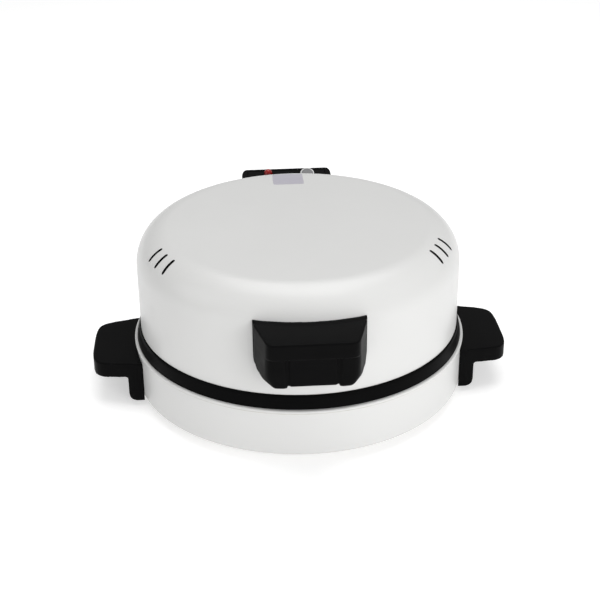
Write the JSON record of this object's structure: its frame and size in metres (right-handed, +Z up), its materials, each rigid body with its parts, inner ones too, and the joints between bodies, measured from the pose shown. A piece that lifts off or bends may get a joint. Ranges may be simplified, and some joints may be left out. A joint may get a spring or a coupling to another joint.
{
  "type": "pizza maker",
  "caption": "Round countertop pizza maker: white drum base with black pan, domed white lid hinged at the back, black grips, sloped control box with lamp and knob.",
  "frame": {"origin": "on the table, under the middle of the round base", "axes": "+Z up; -Y is the front, where the lid's handle is; +X is the right-hand side handle; the hinge and the control box are at +Y"},
  "size_m": [0.524, 0.493, 0.2174],
  "materials": {
    "white_paint": "gloss enamel",
    "bakelite": "satin, moulded",
    "pan_coating": "satin non-stick coating on steel",
    "aluminised_steel": "bright rolled sheet",
    "bright_steel": "plated",
    "element_sheath": "heat-darkened",
    "ceramic": "unglazed",
    "red_lens": "moulded, see-through",
    "rubber": "matt"
  },
  "bodies": {
    "base": {"baking_pan": "pan_coating", "base_shell": "white_paint", "bottom_plate": "aluminised_steel", "cord_bush": "rubber", "foot_front_left": "rubber", "foot_front_right": "rubber", "foot_rear_left": "rubber", "foot_rear_right": "rubber", "foot_screw_front_left": "bright_steel", "foot_screw_front_right": "bright_steel", "foot_screw_rear_left": "bright_steel", "foot_screw_rear_right": "bright_steel", "hinge_bracket": "bakelite", "hinge_bracket_screw_left": "bright_steel", "hinge_bracket_screw_right": "bright_steel", "hinge_pin": "bright_steel", "lower_element": "element_sheath", "lower_element_clip_1": "aluminised_steel", "lower_element_clip_2": "aluminised_steel", "lower_element_clip_3": "aluminised_steel", "lower_reflector": "aluminised_steel", "pan_stud": "bright_steel", "pan_stud_nut": "bright_steel", "side_handle_left": "bakelite", "side_handle_right": "bakelite", "side_handle_screw_left_a": "bright_steel", "side_handle_screw_left_b": "bright_steel", "side_handle_screw_right_a": "bright_steel", "side_handle_screw_right_b": "bright_steel", "terminal_block": "ceramic"},
    "lid": {"control_cover": "bakelite", "control_cover_screw_1": "bright_steel", "control_cover_screw_2": "bright_steel", "control_cover_screw_3": "bright_steel", "control_cover_screw_4": "bright_steel", "control_housing": "bakelite", "control_housing_screw_left": "bright_steel", "control_housing_screw_right": "bright_steel", "control_panel": "bakelite", "front_handle": "bakelite", "front_handle_screw_left": "bright_steel", "front_handle_screw_right": "bright_steel", "lid_liner": "aluminised_steel", "lid_shell": "white_paint", "pilot_lamp_holder": "ceramic", "pilot_lamp_lens": "red_lens", "thermostat": "ceramic", "upper_element": "element_sheath", "upper_element_clip_1": "aluminised_steel", "upper_element_clip_2": "aluminised_steel", "upper_element_clip_3": "aluminised_steel"},
    "knob": {"thermostat_knob": "bakelite", "knob_cap": "bright_steel", "thermostat_shaft": "bright_steel"}
  },
  "joints": [
    {"name": "lid_hinge", "type": "hinge", "parent": "base", "child": "lid", "pos_m": [0, 0.226, 0.083], "axis": [-1, 0, 0], "range_deg": [0, 100]},
    {"name": "thermostat_turn", "type": "hinge", "parent": "lid", "child": "knob", "pos_m": [0.0285, 0.22629, 0.18387], "axis": [0, 0.454, -0.891], "range_deg": [0, 270]}
  ]
}
